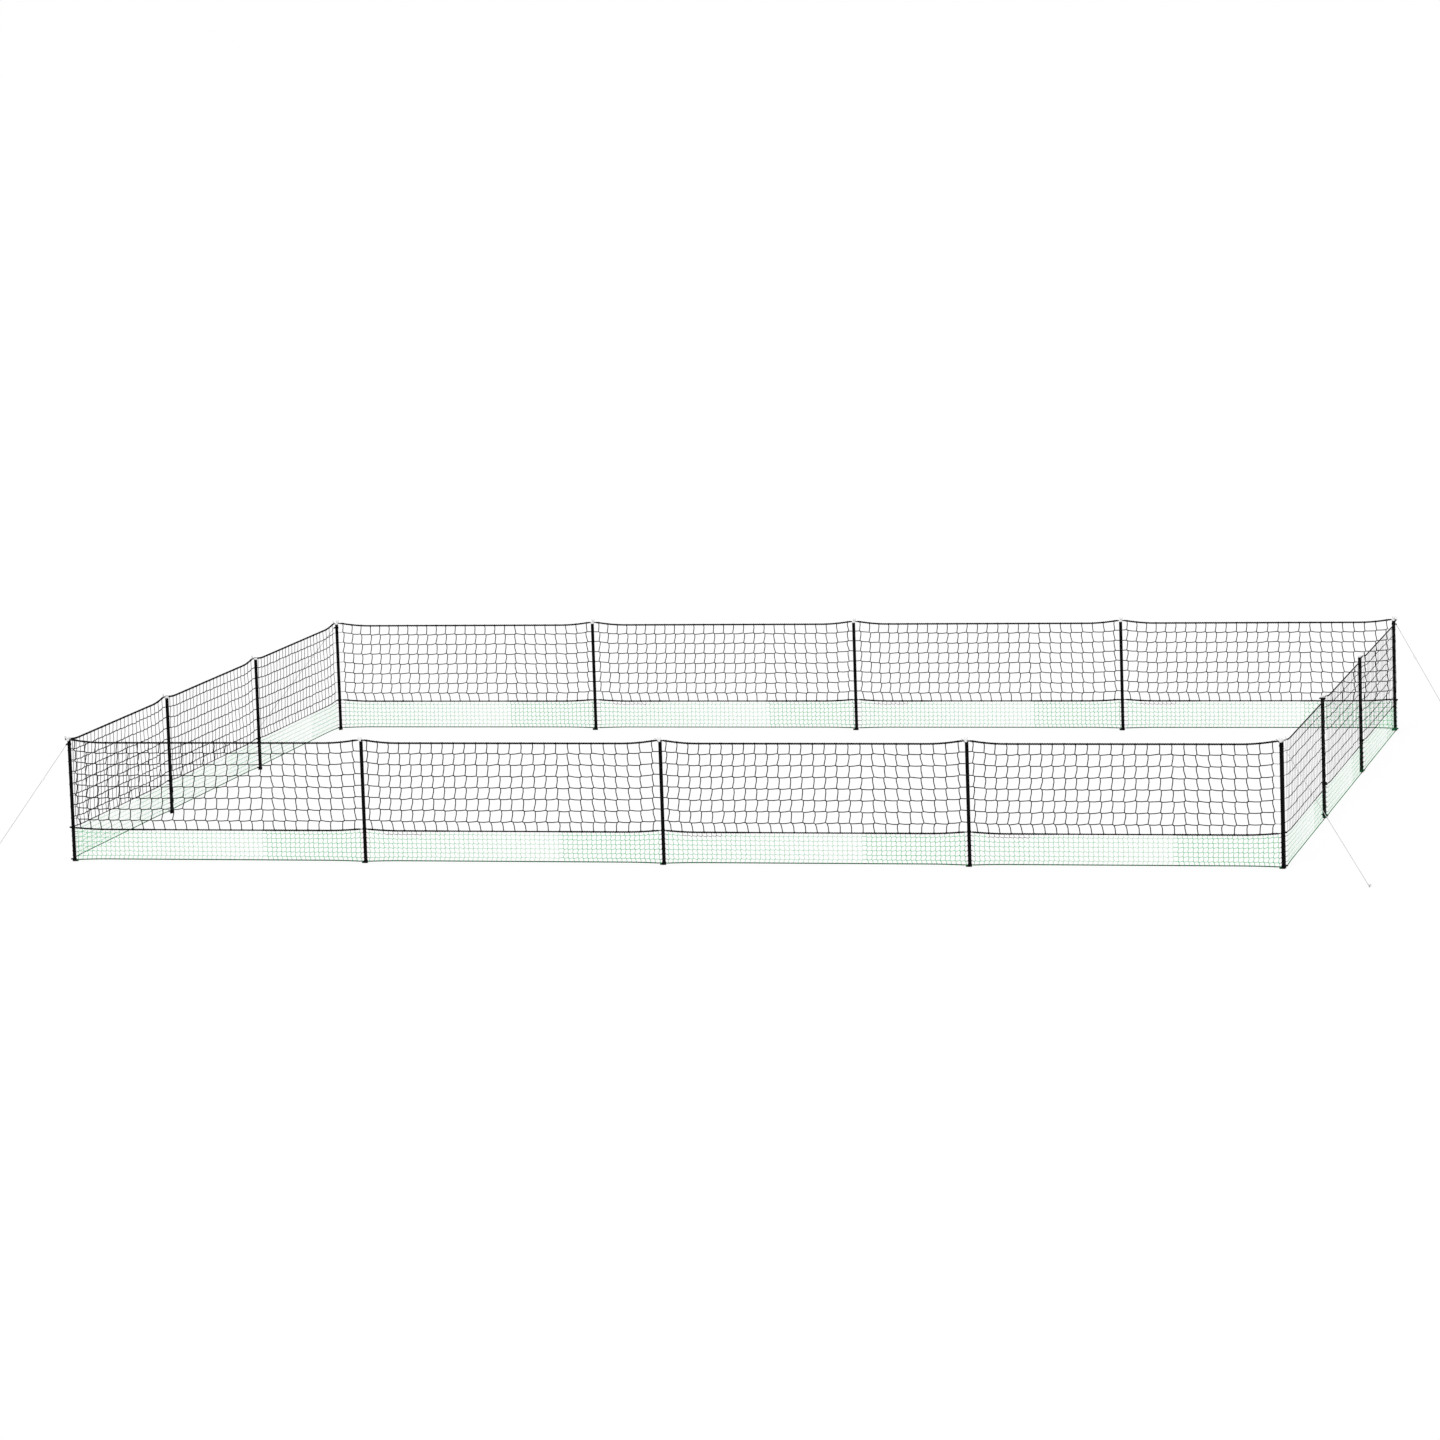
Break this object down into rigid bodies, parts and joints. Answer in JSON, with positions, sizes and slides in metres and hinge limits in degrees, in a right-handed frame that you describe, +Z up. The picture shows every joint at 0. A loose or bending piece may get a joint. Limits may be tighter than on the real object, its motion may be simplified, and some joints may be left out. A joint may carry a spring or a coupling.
{
  "type": "poultry netting fence",
  "caption": "Rectangular pen of poultry netting on push-in posts: ropes carry a coarse upper net and a fine lower net, with a swinging gate panel and guyed corners.",
  "frame": {"origin": "centre of the pen, at the level of the spike tips; the ground is 0.2 m above it", "axes": "+X along the front towards the gate's corner, +Y from the front to the back, +Z up"},
  "size_m": [14.5516, 10.4794, 1.501],
  "materials": {
    "black_plastic": "satin",
    "white_plastic": "satin",
    "steel": "zinc plated",
    "black_rope": "twisted",
    "black_net": "knotted twine",
    "green_net": "knotted twine",
    "white_rope": "braided"
  },
  "bodies": {
    "fence": {"front_left_corner_post": "black_plastic", "front_post_1": "black_plastic", "front_post_2": "black_plastic", "front_post_3": "black_plastic", "front_right_corner_post": "black_plastic", "right_post_1": "black_plastic", "right_post_2": "black_plastic", "back_right_corner_post": "black_plastic", "back_post_1": "black_plastic", "back_post_2": "black_plastic", "back_post_3": "black_plastic", "back_left_corner_post": "black_plastic", "left_post_1": "black_plastic", "left_post_2": "black_plastic", "post_caps": "white_plastic", "middle_rope_clips": "black_plastic", "post_feet": "black_plastic", "guy_collars": "black_plastic", "ground_spikes": "steel", "top_rope": "black_rope", "middle_rope": "black_rope", "bottom_rope": "black_rope", "front_upper_net": "black_net", "front_lower_net": "green_net", "right_upper_net": "black_net", "right_lower_net": "green_net", "back_upper_net": "black_net", "back_lower_net": "green_net", "left_upper_net": "black_net", "left_lower_net": "green_net", "front_left_guy_rope": "white_rope", "front_left_guy_peg": "steel", "front_right_guy_rope": "white_rope", "front_right_guy_peg": "steel", "back_right_guy_rope": "white_rope", "back_right_guy_peg": "steel", "back_left_guy_rope": "white_rope", "back_left_guy_peg": "steel"},
    "gate": {"gate_end_post": "black_plastic", "gate_post_cap": "white_plastic", "gate_rope_clip": "black_plastic", "gate_post_foot": "black_plastic", "gate_ground_spike": "steel", "gate_top_rope": "black_rope", "gate_middle_rope": "black_rope", "gate_bottom_rope": "black_rope", "gate_upper_net": "black_net", "gate_lower_net": "green_net"},
    "front_left_runner": {"front_left_guy_runner": "white_plastic"},
    "front_right_runner": {"front_right_guy_runner": "white_plastic"},
    "back_right_runner": {"back_right_guy_runner": "white_plastic"},
    "back_left_runner": {"back_left_guy_runner": "white_plastic"}
  },
  "joints": [
    {"name": "gate_swing", "type": "hinge", "parent": "fence", "child": "gate", "pos_m": [6.25, -1.5625, 0], "axis": [0, 0, 1], "range_deg": [-150, 90]},
    {"name": "front_left_runner_slide", "type": "slide", "parent": "fence", "child": "front_left_runner", "axis": [-0.458, -0.458, -0.7619], "range_m": [-0.37, 1.087]},
    {"name": "front_right_runner_slide", "type": "slide", "parent": "fence", "child": "front_right_runner", "axis": [0.5147, -0.5518, -0.6562], "range_m": [-0.37, 1.342]},
    {"name": "back_right_runner_slide", "type": "slide", "parent": "fence", "child": "back_right_runner", "axis": [0.4825, 0, -0.8759], "range_m": [-0.37, 0.881]},
    {"name": "back_left_runner_slide", "type": "slide", "parent": "fence", "child": "back_left_runner", "axis": [-0.6362, 0, -0.7715], "range_m": [-0.37, 1.067]}
  ]
}
